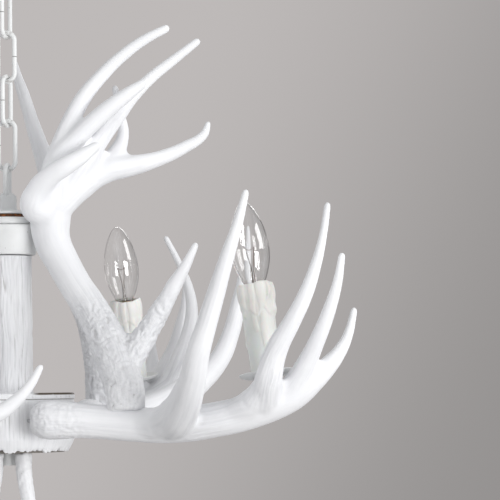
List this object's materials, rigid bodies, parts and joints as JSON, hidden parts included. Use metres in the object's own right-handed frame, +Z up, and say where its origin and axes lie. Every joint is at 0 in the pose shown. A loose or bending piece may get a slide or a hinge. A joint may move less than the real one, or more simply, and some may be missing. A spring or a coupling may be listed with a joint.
{
  "type": "antler chandelier",
  "caption": "Hanging chandelier of cast white antlers round a column, with candle lamps, on a chain from a ceiling canopy.",
  "frame": {"origin": "on the ceiling, at the middle of the bracket's two screw holes, on the lamp's axis", "axes": "+Z up along the chain and column; +Y away from the viewer of the picture, +X to the right"},
  "size_m": [0.6064, 0.6064, 0.6607],
  "materials": {
    "resin": "cast polyresin, painted matt to satin white",
    "collar_paint": "satin white paint",
    "white_paint": "white enamel, worn at the joints",
    "bronze": "dark bronze, bare",
    "candle_plastic": "ivory, moulded wax drips",
    "holder_plastic": "moulded thermoplastic",
    "bulb_glass": "clear",
    "stem_glass": "clear stem with nickel wires",
    "brass": "plain",
    "zinc_steel": "zinc plated"
  },
  "bodies": {
    "ceiling": {"ceiling_bracket": "zinc_steel", "canopy": "white_paint", "canopy_nipple": "zinc_steel", "canopy_loop": "white_paint"},
    "link_1": {"chain_link_1": "white_paint"},
    "link_2": {"chain_link_2": "white_paint"},
    "link_3": {"chain_link_3": "white_paint"},
    "link_4": {"chain_link_4": "white_paint"},
    "link_5": {"chain_link_5": "white_paint"},
    "link_6": {"chain_link_6": "white_paint"},
    "lamp": {"bronze_ring": "bronze", "candle_nipples": "zinc_steel", "candle_sleeve_1": "candle_plastic", "candle_sleeve_2": "candle_plastic", "candle_sleeve_3": "candle_plastic", "candle_sleeve_4": "candle_plastic", "cap_neck": "white_paint", "centre_tube": "zinc_steel", "collar_screws": "zinc_steel", "column_sleeve": "resin", "drip_pan_1": "white_paint", "drip_pan_2": "white_paint", "drip_pan_3": "white_paint", "drip_pan_4": "white_paint", "finial_antler_1": "resin", "finial_antler_2": "resin", "finial_antler_3": "resin", "finial_antler_4": "resin", "hub_base": "resin", "hub_cover": "resin", "hub_drum": "resin", "hub_screws": "zinc_steel", "lamp_holder_1": "holder_plastic", "lamp_holder_2": "holder_plastic", "lamp_holder_3": "holder_plastic", "lamp_holder_4": "holder_plastic", "lower_antler_1": "resin", "lower_antler_2": "resin", "lower_antler_3": "resin", "lower_antler_4": "resin", "top_cap": "white_paint", "top_collar": "collar_paint", "top_loop": "white_paint", "upper_antler_1": "resin", "upper_antler_2": "resin", "upper_antler_3": "resin", "upper_antler_4": "resin"},
    "bulb_1": {"bulb_glass_1": "bulb_glass", "bulb_cap_1": "brass", "bulb_filament_1": "stem_glass"},
    "bulb_2": {"bulb_glass_2": "bulb_glass", "bulb_cap_2": "brass", "bulb_filament_2": "stem_glass"},
    "bulb_3": {"bulb_glass_3": "bulb_glass", "bulb_cap_3": "brass", "bulb_filament_3": "stem_glass"},
    "bulb_4": {"bulb_glass_4": "bulb_glass", "bulb_cap_4": "brass", "bulb_filament_4": "stem_glass"}
  },
  "joints": [
    {"name": "link_1_swing", "type": "hinge", "parent": "ceiling", "child": "link_1", "pos_m": [0, 0, -0.06], "axis": [0.9659, -0.2588, 0], "range_deg": [-15, 15]},
    {"name": "link_2_swing", "type": "hinge", "parent": "link_1", "child": "link_2", "pos_m": [0, 0, -0.1011], "axis": [0.4695, 0.8829, 0], "range_deg": [-15, 15]},
    {"name": "link_3_swing", "type": "hinge", "parent": "link_2", "child": "link_3", "pos_m": [0, 0, -0.1422], "axis": [0.9659, -0.2588, 0], "range_deg": [-15, 15]},
    {"name": "link_4_swing", "type": "hinge", "parent": "link_3", "child": "link_4", "pos_m": [0, 0, -0.1833], "axis": [0.4695, 0.8829, 0], "range_deg": [-15, 15]},
    {"name": "link_5_swing", "type": "hinge", "parent": "link_4", "child": "link_5", "pos_m": [0, 0, -0.2244], "axis": [0.9659, -0.2588, 0], "range_deg": [-15, 15]},
    {"name": "link_6_swing", "type": "hinge", "parent": "link_5", "child": "link_6", "pos_m": [0, 0, -0.2655], "axis": [0.4695, 0.8829, 0], "range_deg": [-15, 15]},
    {"name": "lamp_swing", "type": "hinge", "parent": "link_6", "child": "lamp", "pos_m": [0, 0, -0.3066], "axis": [0.9659, -0.2588, 0], "range_deg": [-15, 15]},
    {"name": "bulb_1_screw", "type": "hinge", "parent": "lamp", "child": "bulb_1", "pos_m": [0.226, -0.127, -0.502], "axis": [-0.1144, 0.1067, 0.9877], "range_deg": [0, 720]},
    {"name": "bulb_2_screw", "type": "hinge", "parent": "lamp", "child": "bulb_2", "pos_m": [0.127, 0.226, -0.502], "axis": [-0.1067, -0.1144, 0.9877], "range_deg": [0, 720]},
    {"name": "bulb_3_screw", "type": "hinge", "parent": "lamp", "child": "bulb_3", "pos_m": [-0.226, 0.127, -0.502], "axis": [0.1144, -0.1067, 0.9877], "range_deg": [0, 720]},
    {"name": "bulb_4_screw", "type": "hinge", "parent": "lamp", "child": "bulb_4", "pos_m": [-0.127, -0.226, -0.502], "axis": [0.1067, 0.1144, 0.9877], "range_deg": [0, 720]}
  ]
}
